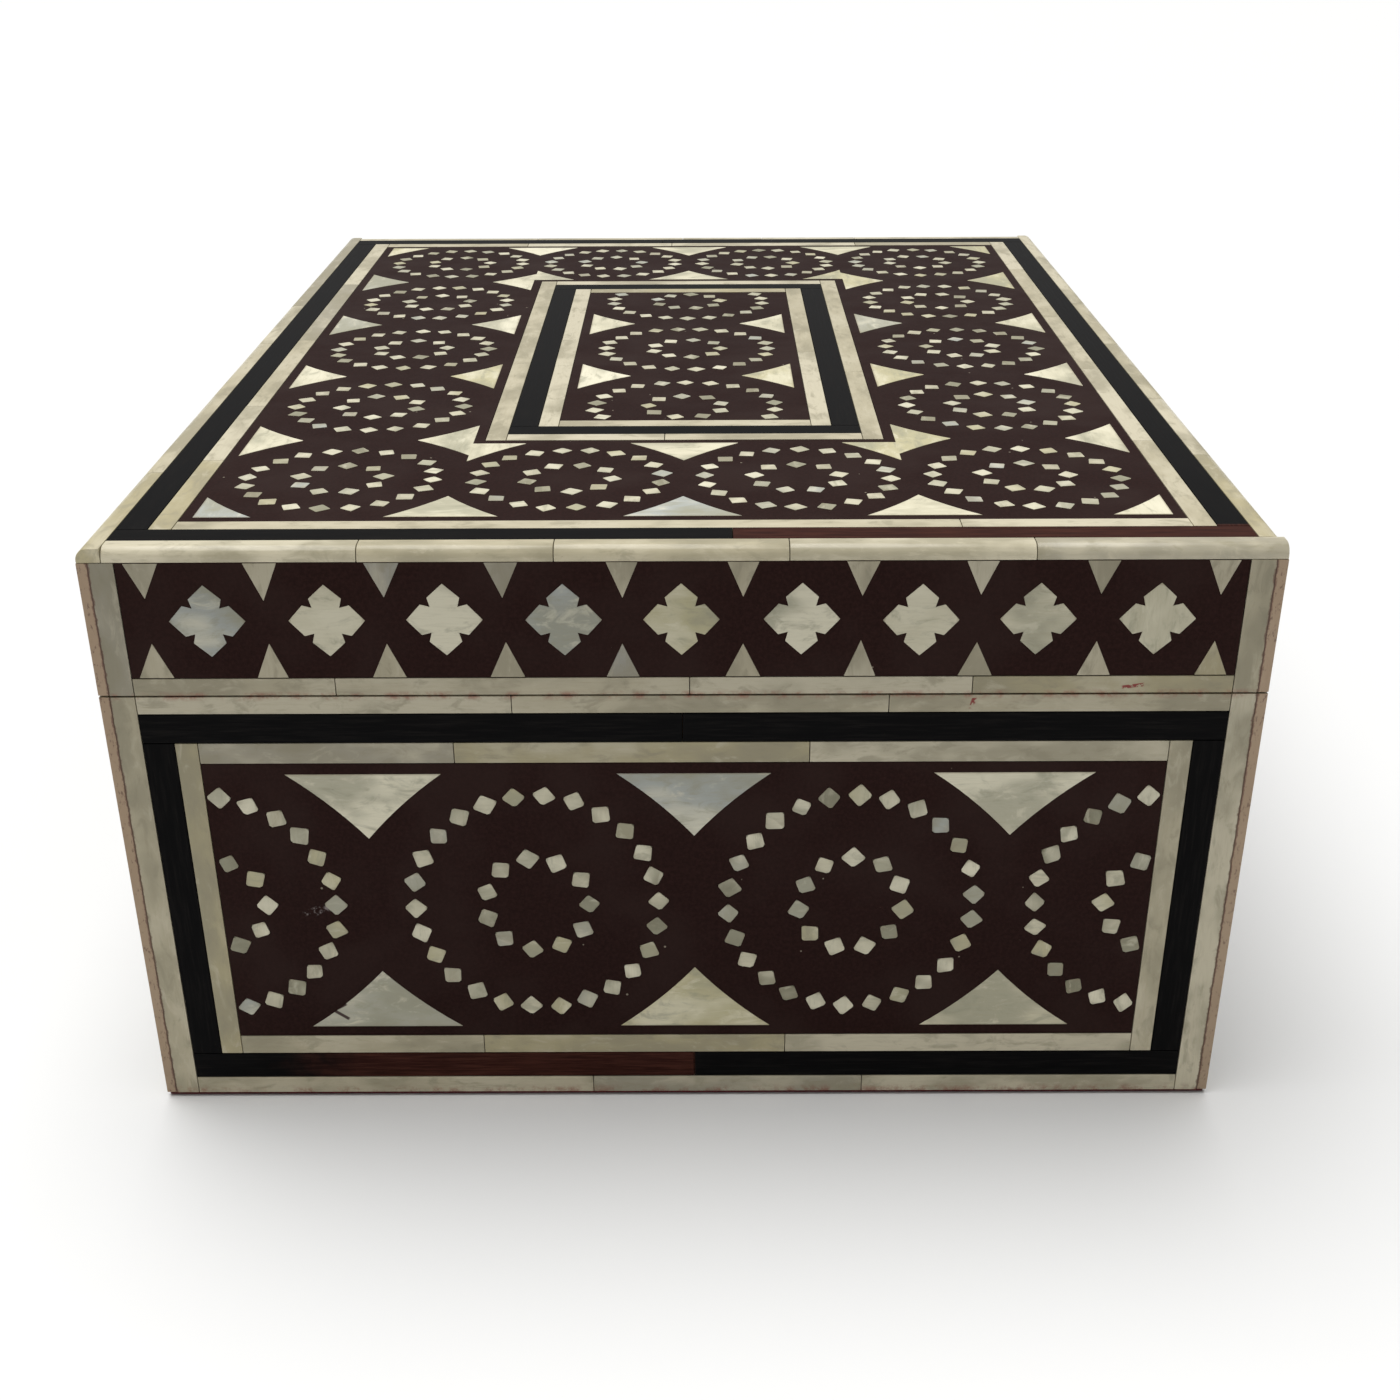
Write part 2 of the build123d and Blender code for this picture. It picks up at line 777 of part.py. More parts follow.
def hinge_screws(level, up):
    """Countersunk wood screws, heads just below the leaf, points in the wood."""
    with BuildPart(Plane.XZ) as screws:
        with BuildSketch(Plane.XZ) as outline:
            with BuildLine():
                Polyline(
                    (0, -screw_sink),
                    (screw_head_radius, -screw_sink),
                    (screw_radius, -screw_sink - screw_head_depth),
                    (screw_radius, -screw_length),
                    (0, -screw_length - screw_tip),
                    close=True,
                )
            make_face()
        revolve(axis=Axis.Z)
        Box(2 * screw_head_radius, screw_slot, 2 * screw_slot, mode=Mode.SUBTRACT)
    with BuildPart() as group:
        for spot in screw_places(level, up):
            add(screws.part.moved(spot.location))
    return group


save(hinge_screws(body_top, 1), "body_hinge_screws")
save(hinge_screws(parting, -1), "lid_hinge_screws")
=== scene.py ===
import math
from random import Random

import bmesh
import bpy
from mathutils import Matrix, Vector, noise


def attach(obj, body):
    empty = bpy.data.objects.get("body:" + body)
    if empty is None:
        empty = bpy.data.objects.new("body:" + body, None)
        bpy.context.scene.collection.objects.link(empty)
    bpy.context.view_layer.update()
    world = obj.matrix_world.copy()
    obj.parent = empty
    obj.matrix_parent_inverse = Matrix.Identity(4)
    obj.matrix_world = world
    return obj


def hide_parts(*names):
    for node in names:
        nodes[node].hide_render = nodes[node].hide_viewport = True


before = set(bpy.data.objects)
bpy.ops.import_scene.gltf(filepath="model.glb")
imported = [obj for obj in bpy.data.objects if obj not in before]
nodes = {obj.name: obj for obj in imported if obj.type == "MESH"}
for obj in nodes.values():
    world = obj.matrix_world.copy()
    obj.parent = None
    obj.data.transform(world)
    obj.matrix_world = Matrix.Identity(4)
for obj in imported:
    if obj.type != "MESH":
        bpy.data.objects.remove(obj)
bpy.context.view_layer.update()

# Places and sizes below are in millimetres unless they say otherwise.
MM = 0.001
PER_METRE = 1000.0

# ---------------------------------------------------------------- camera, in metres and degrees
CAMERA_PLACE = (0.0037, -0.4788, 0.2439)
CAMERA_TURN = (61.75, 0.198, -0.019)
CAMERA_LENS = 46.93
CAMERA_SENSOR = 36.0
CAMERA_SHIFT = 0.0865
CAMERA_NEAR = 0.01


def make_camera():
    data = bpy.data.cameras.new("photo_camera")
    data.lens = CAMERA_LENS
    data.sensor_width = CAMERA_SENSOR
    data.shift_y = CAMERA_SHIFT
    data.clip_start = CAMERA_NEAR
    camera = bpy.data.objects.new("photo_camera", data)
    camera.location = CAMERA_PLACE
    camera.rotation_euler = [math.radians(turn) for turn in CAMERA_TURN]
    bpy.context.scene.collection.objects.link(camera)
    bpy.context.scene.camera = camera


# ---------------------------------------------------------------- studio, in metres and degrees
WORLD_LIGHT = 0.32
WORLD_COLOUR = (1.0, 0.995, 0.985, 1)
SUN_TURN = (-10.0, -10.0, 0.0)
SUN_SPREAD = 55.0
SUN_POWER = 3.2
FLOOR_SIZE = 80.0
FLOOR_COLOUR = (0.80, 0.80, 0.795, 1)
FLOOR_ROUGHNESS = 0.7


def make_studio():
    """An even pale world, one very wide light from above and behind, and a pale floor."""
    world = bpy.data.worlds.new("studio")
    bpy.context.scene.world = world
    world.use_nodes = True
    background = world.node_tree.nodes["Background"]
    background.inputs["Color"].default_value = WORLD_COLOUR
    background.inputs["Strength"].default_value = WORLD_LIGHT
    data = bpy.data.lights.new("wide_light", "SUN")
    data.angle = math.radians(SUN_SPREAD)
    data.energy = SUN_POWER
    light = bpy.data.objects.new("wide_light", data)
    light.rotation_euler = [math.radians(turn) for turn in SUN_TURN]
    bpy.context.scene.collection.objects.link(light)
    bpy.ops.mesh.primitive_plane_add(size=FLOOR_SIZE, location=(0, 0, 0))
    floor = bpy.context.object
    floor.name = "floor"
    material = bpy.data.materials.new("pale_floor")
    material.use_nodes = True
    shader = material.node_tree.nodes["Principled BSDF"]
    shader.inputs["Base Color"].default_value = FLOOR_COLOUR
    shader.inputs["Roughness"].default_value = FLOOR_ROUGHNESS
    floor.data.materials.append(material)
    bpy.context.scene.view_settings.view_transform = "Standard"


# ---------------------------------------------------------------- shader helpers
class Weave:
    """A material and its node tree, with short calls for the nodes used here."""

    def __init__(self, name):
        self.material = bpy.data.materials.new(name)
        self.material.use_nodes = True
        self.tree = self.material.node_tree
        self.shader = self.tree.nodes["Principled BSDF"]
        place = self.node("ShaderNodeTexCoord").outputs["Object"]
        self.point = self.vector("SCALE", place, scale=PER_METRE)
        split = self.node("ShaderNodeSeparateXYZ", Vector=self.point)
        self.x, self.y, self.z = split.outputs

    def node(self, kind, **inputs):
        made = self.tree.nodes.new(kind)
        for name, value in inputs.items():
            self.feed(made.inputs[name.replace("_", " ")], value)
        return made

    def feed(self, socket, value):
        if isinstance(value, bpy.types.NodeSocket):
            self.tree.links.new(value, socket)
        else:
            socket.default_value = value

    def own(self, name, output):
        """One of the piece's own facts."""
        made = self.node("ShaderNodeAttribute")
        made.attribute_name = name
        return made.outputs[output]

    def math(self, operation, *values, clamp=False):
        made = self.tree.nodes.new("ShaderNodeMath")
        made.operation = operation
        made.use_clamp = clamp
        for socket, value in zip(made.inputs, values):
            self.feed(socket, value)
        return made.outputs[0]

    def times(self, first, second):
        return self.math("MULTIPLY", first, second)

    def vector(self, operation, first, second=None, scale=None):
        made = self.tree.nodes.new("ShaderNodeVectorMath")
        made.operation = operation
        self.feed(made.inputs[0], first)
        if second is not None:
            self.feed(made.inputs[1], second)
        if scale is not None:
            self.feed(made.inputs["Scale"], scale)
        return made.outputs[0]

    def noise(self, scale, detail=3.0, rough=0.55, stretch=(1, 1, 1), point=None, twist=0.0):
        where = self.vector("MULTIPLY", point or self.point, stretch)
        made = self.node("ShaderNodeTexNoise", Vector=where, Scale=scale, Detail=detail, Roughness=rough)
        made.inputs["Distortion"].default_value = twist
        return made.outputs["Fac"]

    def bands(self, value, stops):
        """One of several colours, by where a value from 0 to 1 falls."""
        made = self.tree.nodes.new("ShaderNodeValToRGB")
        made.color_ramp.interpolation = "CONSTANT"
        points = made.color_ramp.elements
        while len(points) < len(stops):
            points.new(1.0)
        for point, (place, colour) in zip(points, stops):
            point.position = place
            point.color = (*colour, 1)
        self.feed(made.inputs["Fac"], value)
        return made.outputs["Color"]

    def step(self, value, low, high):
        """0 below low, 1 above high, smooth between; the other way round where low is over high."""
        made = self.tree.nodes.new("ShaderNodeMapRange")
        made.interpolation_type = "SMOOTHSTEP"
        for name, number in (("From Min", low), ("From Max", high), ("To Min", 0.0), ("To Max", 1.0)):
            made.inputs[name].default_value = number
        self.feed(made.inputs["Value"], value)
        return made.outputs["Result"]

    def mix(self, share, first, second):
        made = self.tree.nodes.new("ShaderNodeMix")
        made.data_type = "RGBA"
        self.feed(made.inputs["Factor"], share)
        first_socket, second_socket = [i for i in made.inputs if i.type == "RGBA"]
        for socket, value in ((first_socket, first), (second_socket, second)):
            if not isinstance(value, bpy.types.NodeSocket):
                value = (*value, 1)
            self.feed(socket, value)
        return next(o for o in made.outputs if o.type == "RGBA")

    def tint(self, colour, added, where, strength):
        """Mix a colour in where a mask says, up to a strength."""
        return self.mix(self.times(where, strength), colour, added)

    def stroke(self, start, end, width):
        """1 along a short straight mark on the front, from start to end in X and Z, 0 beyond its width."""
        (x1, z1), (x2, z2) = start, end
        run = math.hypot(x2 - x1, z2 - z1)
        over, up = (x2 - x1) / run, (z2 - z1) / run
        dx, dz = self.math("SUBTRACT", self.x, x1), self.math("SUBTRACT", self.z, z1)
        along = self.math("ADD", self.times(dx, over), self.times(dz, up))
        beside = self.math("SUBTRACT", self.times(dx, up), self.times(dz, over))
        beyond = self.math("ABSOLUTE", self.math("SUBTRACT", along, run / 2))
        inside = self.step(beyond, run / 2 + width, run / 2)
        return self.times(inside, self.step(self.math("ABSOLUTE", beside), width, width / 2))

    def bump(self, height, strength, distance, after=None):
        made = self.node("ShaderNodeBump", Height=height, Strength=strength, Distance=distance * MM)
        if after is not None:
            self.feed(made.inputs["Normal"], after)
        return made.outputs["Normal"]

    def finish(self, colour, rough, normal, specular):
        self.feed(self.shader.inputs["Base Color"], colour)
        self.feed(self.shader.inputs["Roughness"], rough)
        self.shader.inputs["Specular IOR Level"].default_value = specular
        self.feed(self.shader.inputs["Normal"], normal)
        return self.material


# ---------------------------------------------------------------- what each loose piece of a node knows
TONE = "tone"
GRAIN = "grain"
END_GAP = "end_gap"
REACH = "reach"


def new_group(name, socket, kind):
    """A geometry node group with one input of its own beside the geometry."""
    group = bpy.data.node_groups.new(name, "GeometryNodeTree")
    for way in ("INPUT", "OUTPUT"):
        group.interface.new_socket("Geometry", in_out=way, socket_type="NodeSocketGeometry")
    group.interface.new_socket(socket, in_out="INPUT", socket_type=kind)
    return group


def used(sockets):
    return [socket for socket in sockets if socket.enabled]


def piece_facts():
    """A node group that marks every loose piece of a mesh: a number of its own from 0 to 1, its coordinates
    with X along its longest side, and how far each point is from its nearer end and its middle, in metres."""
    group = new_group("piece_facts", "Seed", "NodeSocketInt")
    links = group.links

    def node(kind, **settings):
        made = group.nodes.new(kind)
        for name, value in settings.items():
            setattr(made, name, value)
        return made

    def wire(kind, *sources, **settings):
        """A node whose first inputs are fed in order; gives its first output in use."""
        made = node(kind, **settings)
        for socket, source in zip(used(made.inputs), sources):
            links.new(source, socket)
        return used(made.outputs)[0]

    def vector(operation, *sources):
        return wire("ShaderNodeVectorMath", *sources, operation=operation)

    def number(operation, *sources):
        return wire("ShaderNodeMath", *sources, operation=operation)

    def split(source):
        return wire("ShaderNodeSeparateXYZ", source).node.outputs

    def join(*sources):
        return wire("ShaderNodeCombineXYZ", *sources)

    def choose(share, first, second):
        return wire("ShaderNodeMix", share, first, second, data_type="VECTOR")

    def longest(length, *others):
        """1 where a length is over both others."""
        return number("MULTIPLY", *[number("GREATER_THAN", length, other) for other in others])

    start = node("NodeGroupInput")
    island = node("GeometryNodeInputMeshIsland").outputs["Island Index"]
    place = node("GeometryNodeInputPosition").outputs["Position"]
    chance = node("FunctionNodeRandomValue")
    links.new(island, chance.inputs["ID"])
    links.new(start.outputs["Seed"], chance.inputs["Seed"])
    tone = used(chance.outputs)[0]

    extent = node("GeometryNodeFieldMinAndMax", data_type="FLOAT_VECTOR", domain="POINT")
    links.new(place, extent.inputs[0])
    links.new(island, extent.inputs["Group ID"])
    low, high = used(extent.outputs)[:2]
    wide, deep, tall = split(vector("SUBTRACT", high, low))
    x, y, z = split(place)
    along_y, along_z = longest(deep, wide, tall), longest(tall, wide, deep)
    grain = choose(along_y, join(x, y, z), join(y, x, z))
    grain = choose(along_z, grain, join(z, x, y))

    from_low = split(vector("SUBTRACT", place, low))
    from_high = split(vector("SUBTRACT", high, place))
    gap_x, gap_y, gap_z = [number("MINIMUM", near, far) for near, far in zip(from_low, from_high)]
    gap = choose(along_y, join(gap_x, gap_x, gap_x), join(gap_y, gap_y, gap_y))
    gap = choose(along_z, gap, join(gap_z, gap_z, gap_z))

    middle = vector("SCALE", vector("ADD", low, high))
    middle.node.inputs["Scale"].default_value = 0.5
    away = vector("DISTANCE", place, middle)

    geometry = start.outputs["Geometry"]
    kept = (
        (TONE, tone, "FLOAT"),
        (GRAIN, grain, "FLOAT_VECTOR"),
        (END_GAP, gap, "FLOAT_VECTOR"),
        (REACH, away, "FLOAT"),
    )
    for name, value, kind in kept:
        store = node("GeometryNodeStoreNamedAttribute", data_type=kind)
        store.inputs["Name"].default_value = name
        links.new(geometry, store.inputs["Geometry"])
        links.new(value, store.inputs["Value"])
        geometry = store.outputs["Geometry"]
    links.new(geometry, node("NodeGroupOutput").inputs["Geometry"])
    return group


# ---------------------------------------------------------------- bone
PALE = (0.80, 0.755, 0.575)
CREAM = (0.68, 0.635, 0.465)
IVORY = (0.60, 0.56, 0.40)
YELLOW = (0.53, 0.485, 0.29)
GREY = (0.43, 0.42, 0.335)
BLUE_GREY = (0.41, 0.43, 0.40)
OLIVE = (0.20, 0.185, 0.115)
MURKY = (0.33, 0.32, 0.225)
FIBRE = (0.36, 0.32, 0.19)
PIT = (0.14, 0.09, 0.05)
CRACK = (0.04, 0.016, 0.011)
DIRT = (0.25, 0.19, 0.11)
STAIN = (0.24, 0.05, 0.03)
DROP = (0.2, 0.02, 0.014)
SEAM = (0.36, 0.245, 0.155)
SEAM_LINE = (0.10, 0.035, 0.02)

STRIP_TONES = ((0.0, CREAM), (0.2, IVORY), (0.4, YELLOW), (0.52, PALE), (0.72, GREY), (0.84, PALE))
CHIP_TONES = ((0.0, PALE), (0.24, CREAM), (0.5, YELLOW), (0.66, GREY), (0.82, OLIVE), (0.94, BLUE_GREY))
INLAY_TONES = ((0.0, IVORY), (0.2, CREAM), (0.45, PALE), (0.62, YELLOW), (0.76, GREY), (0.88, BLUE_GREY))

# Painted light and shade: bone on top of the lid is painted lighter and bone on the sides painted darker.
TOP_BONE_PAINTED_LIGHT = 1.12
SIDE_BONE_PAINTED_SHADE = 0.8
# Painted bounce light from the floor: side bone is painted lighter towards the foot.
FOOT_PAINTED_LIGHT = 0.24
BONE_SHINE = 0.4
CHIP_RIM = 0.55

FIBRE_STRETCH = (0.09, 1, 1)
PORE_STRETCH = (0.16, 1, 1)
BROAD_STRETCH = (0.6, 1, 1)
CLOUD_STRETCH = (0.45, 1, 1)
PIECE_SHIFT = (370.0, 530.0, 710.0)

PARTING = 96.6
CORNER_X = 112.4
CORNER_BLUR = 0.05
OUTER_FACE_Y = 152.3
PIECE_FACE_Y = (-150.0, -151.0)
STRIP_FACE_Y = (-152.0, -152.3)
CRACKS = (((-75.6, 22.7), (-73.0, 24.2), 0.45), ((-75.6, 22.7), (-72.7, 20.6), 0.5))
DROPS = (((86.0, 98.0), (90.5, 98.6), 0.5), ((56.6, 93.8), (57.0, 95.6), 0.6))


def marks(w, strokes):
    """Two strokes together."""
    first, second = strokes
    return w.math("MAXIMUM", w.stroke(*first), w.stroke(*second))


def stained(w, colour):
    """Red polish left in the joints, and the porous ends of the side strips at the front and back corners."""
    patches = w.noise(scale=0.3, detail=5.0, rough=0.75)
    near = w.step(w.math("ABSOLUTE", w.math("SUBTRACT", w.z, PARTING)), low=1.3, high=0.1)
    foot = w.step(w.z, low=3.4, high=1.0)
    joint = w.times(w.math("MAXIMUM", near, foot), w.step(patches, low=0.44, high=0.66))
    colour = w.tint(colour, STAIN, joint, strength=0.7)
    drops = w.times(marks(w, DROPS), w.step(w.y, *STRIP_FACE_Y))
    colour = w.mix(w.times(drops, w.step(w.noise(scale=1.1), low=0.42, high=0.5)), colour, DROP)

    across = w.math("ABSOLUTE", w.x)
    on_face = w.step(w.math("ABSOLUTE", w.y), low=OUTER_FACE_Y, high=OUTER_FACE_Y + 0.1)
    end = w.times(w.step(across, low=CORNER_X - CORNER_BLUR, high=CORNER_X + CORNER_BLUR), on_face)
    pores = w.step(w.noise(scale=1.4, detail=4.0, rough=0.7, stretch=(1, 1, 0.5)), low=0.56, high=0.66)
    end_grain = w.tint(SEAM, SEAM_LINE, pores, strength=0.75)
    colour = w.tint(colour, end_grain, end, strength=0.85)
    ragged = w.math("SUBTRACT", w.noise(scale=0.5, detail=5.0, rough=0.7), 0.5)
    edge = w.math("ADD", across, w.times(ragged, 1.3))
    beside = w.math("ABSOLUTE", w.math("SUBTRACT", edge, CORNER_X))
    line = w.times(w.step(beside, low=0.42, high=0.08), on_face)
    return w.tint(colour, SEAM_LINE, line, strength=0.8)


def cracked(w, colour):
    """Two short cracks in one triangle near the front's lower left corner."""
    return w.mix(w.times(marks(w, CRACKS), w.step(w.y, *PIECE_FACE_Y)), colour, CRACK)


def bone(name, tones, painted_light_level, extra=None, rim=0.0, foot=0.0):
    """Polished bone: one tone for each piece, clouding, fibres along the piece and pores. The light level is
    painted light and shade that lightens or darkens it all, foot paints in bounce light that grows towards
    the foot, rim darkens a small piece away from its middle, and extra adds stains or cracks."""
    w = Weave(name)
    chance = w.own(TONE, "Fac")
    tone = w.bands(chance, tones)
    shift = w.vector("SCALE", PIECE_SHIFT, scale=chance)
    point = w.vector("ADD", w.vector("SCALE", w.own(GRAIN, "Vector"), scale=PER_METRE), shift)
    fibre = w.noise(scale=2.4, detail=4.0, rough=0.6, stretch=FIBRE_STRETCH, point=point, twist=0.3)
    pores = w.noise(scale=1.9, detail=5.0, rough=0.75, stretch=PORE_STRETCH, point=point)
    broad = w.noise(scale=0.07, detail=3.0, rough=0.55, stretch=BROAD_STRETCH, point=point)
    cloud = w.noise(scale=0.33, detail=5.0, rough=0.65, stretch=CLOUD_STRETCH, point=point, twist=0.6)
    colour = w.tint(tone, MURKY, w.step(broad, low=0.46, high=0.62), strength=0.65)
    colour = w.tint(colour, PALE, w.step(broad, low=0.49, high=0.34), strength=0.6)
    colour = w.tint(colour, MURKY, w.step(cloud, low=0.5, high=0.68), strength=0.6)
    colour = w.tint(colour, PALE, w.step(cloud, low=0.47, high=0.3), strength=0.5)
    colour = w.tint(colour, FIBRE, w.step(fibre, low=0.45, high=0.75), strength=0.2)
    pits = w.step(pores, low=0.68, high=0.73)
    colour = w.tint(colour, PIT, pits, strength=0.55)
    gap = w.node("ShaderNodeSeparateXYZ", Vector=w.own(END_GAP, "Vector")).outputs["X"]
    colour = w.tint(colour, DIRT, w.step(gap, low=0.7 * MM, high=0.1 * MM), strength=0.4)
    if rim:
        away = w.times(w.own(REACH, "Fac"), PER_METRE)
        colour = w.tint(colour, MURKY, w.step(away, low=1.7, high=3.0), strength=rim)
    # Painted light and shade: the colour is scaled up on the lid's top and down on the sides, and up towards
    # the foot as painted bounce light.
    colour = w.vector("SCALE", colour, scale=w.math("MULTIPLY_ADD", w.z, -foot / PARTING, painted_light_level + foot))
    if extra:
        colour = extra(w, colour)
    rough = w.math("MULTIPLY_ADD", w.noise(scale=0.4, detail=4.0), 0.18, 0.24)
    rough = w.math("ADD", rough, w.times(pits, 0.25), clamp=True)
    normal = w.bump(fibre, strength=0.1, distance=0.05)
    normal = w.bump(cloud, strength=0.12, distance=0.12, after=normal)
    normal = w.bump(pits, strength=-0.4, distance=0.06, after=normal)
    return w.finish(colour, rough, normal, BONE_SHINE)


# ---------------------------------------------------------------- dark ground and black wood
TOP_SHINE = 0.03
SIDE_SHINE = 0.04

GROUND_DARK = (0.016, 0.0062, 0.005)
GROUND_LIGHT = (0.026, 0.0102, 0.0086)
GROUND_CLOUD = (0.03, 0.016, 0.0135)
SPECK = (0.38, 0.33, 0.25)
SCUFF = (0.30, 0.26, 0.25)
SCUFF_MARK = ((-78.6, 46.8), (-74.0, 48.6), 1.2)

BLACK_DARK = (0.0018, 0.0017, 0.0019)
BLACK_LIGHT = (0.008, 0.007, 0.0065)
RED_DARK = (0.028, 0.0075, 0.005)
RED_LIGHT = (0.065, 0.021, 0.014)
BLACK_STRETCH = (0.05, 1, 1)

FOOT_BAND_TOP = (12.5, 12.0)
FOOT_BAND_JOINT = (2.0, 1.8)
FOOT_BAND_FADE = (-78.0, -48.0)
TOP_BAND_FRONT = (-140.0, -141.0)
TOP_BAND_JOINT = (9.5, 9.8)


def ground(name, shine):
    """Dark red-brown ground: fine mottling, pale specks, one pale scuff on the front, rubbed polish."""
    w = Weave(name)
    fine = w.noise(scale=1.3, detail=6.0, rough=0.7)
    cloud = w.noise(scale=0.045)
    colour = w.mix(w.step(fine, low=0.35, high=0.7), GROUND_DARK, GROUND_LIGHT)
    colour = w.tint(colour, GROUND_CLOUD, w.step(cloud, low=0.42, high=0.68), strength=0.55)
    cell = w.node("ShaderNodeTexVoronoi", Vector=w.point, Scale=0.24)
    chance = w.node("ShaderNodeSeparateColor", Color=cell.outputs["Color"]).outputs["Red"]
    size = w.times(w.step(chance, low=0.6, high=1.0), 0.06)
    speck = w.math("LESS_THAN", cell.outputs["Distance"], size)
    colour = w.tint(colour, SPECK, speck, strength=0.6)
    broken = w.step(w.noise(scale=0.8, detail=5.0, rough=0.75), low=0.52, high=0.6)
    scuff = w.times(w.times(w.stroke(*SCUFF_MARK), broken), w.step(w.y, *PIECE_FACE_Y))
    colour = w.tint(colour, SCUFF, scuff, strength=0.7)
    rough = w.math("MULTIPLY_ADD", w.noise(scale=0.12, detail=5.0, rough=0.6), 0.2, 0.30)
    return w.finish(colour, rough, w.bump(fine, strength=0.12, distance=0.04), shine)


def black_wood(name, shine, red=None):
    """Black stained wood with open grain along each strip; red says where it is left red-brown."""
    w = Weave(name)
    point = w.vector("SCALE", w.own(GRAIN, "Vector"), scale=PER_METRE)
    grain = w.noise(scale=2.2, detail=5.0, rough=0.65, stretch=BLACK_STRETCH, point=point)
    colour = w.mix(w.step(grain, low=0.42, high=0.75), BLACK_DARK, BLACK_LIGHT)
    if red is not None:
        red_grain = w.mix(w.step(grain, low=0.35, high=0.7), RED_DARK, RED_LIGHT)
        colour = w.mix(red(w), colour, red_grain)
    rough = w.math("MULTIPLY_ADD", grain, 0.2, 0.24)
    normal = w.bump(w.step(grain, low=0.4, high=0.62), strength=-0.18, distance=0.05)
    return w.finish(colour, rough, normal, shine)


def red_foot(w):
    """The red-brown left half of the front's lower band, fading to black at the corner."""
    low = w.step(w.z, *FOOT_BAND_TOP)
    left = w.step(w.x, *FOOT_BAND_JOINT)
    fade = w.step(w.math("ADD", w.x, w.times(w.noise(scale=0.2), 30.0)), *FOOT_BAND_FADE)
    return w.times(w.times(low, left), fade)


def red_top(w):
    """The red-brown right part of the band along the front of the lid."""
    return w.times(w.step(w.y, *TOP_BAND_FRONT), w.step(w.x, *TOP_BAND_JOINT))


# ---------------------------------------------------------------- carcass wood, brass and felt
WOOD_DARK = (0.11, 0.045, 0.022)
WOOD_LIGHT = (0.24, 0.115, 0.06)
WOOD_PORE = (0.045, 0.018, 0.01)
WOOD_SHINE = 0.35
WOOD_STRETCH = {"X": (0.04, 1, 1), "Y": (1, 0.04, 1)}

BRASS_BRIGHT = (0.68, 0.49, 0.2)
BRASS_TARNISH = (0.3, 0.19, 0.075)
BRASS_STRETCH = (0.05, 1, 1)
BRASS_SHINE = 0.5

FELT_DARK = (0.055, 0.006, 0.009)
FELT_LIGHT = (0.17, 0.022, 0.03)
FELT_TUFT = (0.1, 0.012, 0.016)
FELT_ROUGHNESS = 0.95
FELT_SHINE = 0.2
FELT_SHEEN = 0.15
FELT_SHEEN_ROUGHNESS = 0.5


def plain_wood(name, along):
    """Oiled carcass wood."""
    w = Weave(name)
    rings = w.noise(scale=0.35, detail=4.0, rough=0.6, stretch=WOOD_STRETCH[along], twist=1.2)
    pores = w.noise(scale=3.0, detail=5.0, rough=0.7, stretch=WOOD_STRETCH[along])
    colour = w.mix(w.step(rings, low=0.35, high=0.68), WOOD_DARK, WOOD_LIGHT)
    colour = w.tint(colour, WOOD_PORE, w.step(pores, low=0.56, high=0.68), strength=0.7)
    rough = w.math("MULTIPLY_ADD", rings, 0.15, 0.42)
    return w.finish(colour, rough, w.bump(pores, strength=0.25, distance=0.06), WOOD_SHINE)


def brass(name):
    """Tarnished brass, brushed along X."""
    w = Weave(name)
    brush = w.noise(scale=6.0, rough=0.6, stretch=BRASS_STRETCH)
    tarnish = w.noise(scale=0.25, detail=5.0, rough=0.65)
    colour = w.mix(w.step(tarnish, low=0.42, high=0.72), BRASS_BRIGHT, BRASS_TARNISH)
    rough = w.math("MULTIPLY_ADD", w.math("ADD", brush, tarnish), 0.16, 0.16)
    material = w.finish(colour, rough, w.bump(brush, strength=0.15, distance=0.03), BRASS_SHINE)
    w.shader.inputs["Metallic"].default_value = 1.0
    return material


def felt(name):
    """Dark red felt: matted short fibres and a soft sheen."""
    w = Weave(name)
    fuzz = w.noise(scale=2.4, detail=6.0, rough=0.8)
    tuft = w.noise(scale=0.5, detail=4.0, rough=0.6, twist=1.5)
    colour = w.mix(w.step(fuzz, low=0.35, high=0.68), FELT_DARK, FELT_LIGHT)
    colour = w.tint(colour, FELT_TUFT, w.step(tuft, low=0.4, high=0.7), strength=0.45)
    normal = w.bump(tuft, strength=0.3, distance=0.3)
    normal = w.bump(fuzz, strength=0.6, distance=0.25, after=normal)
    material = w.finish(colour, FELT_ROUGHNESS, normal, FELT_SHINE)
    w.shader.inputs["Sheen Weight"].default_value = FELT_SHEEN
    w.shader.inputs["Sheen Roughness"].default_value = FELT_SHEEN_ROUGHNESS
    return material


# ---------------------------------------------------------------- dressing the CAD nodes
def dress(node, material):
    """Give a CAD node its material."""
    piece = nodes[node]
    piece.data.materials.clear()
    piece.data.materials.append(material)


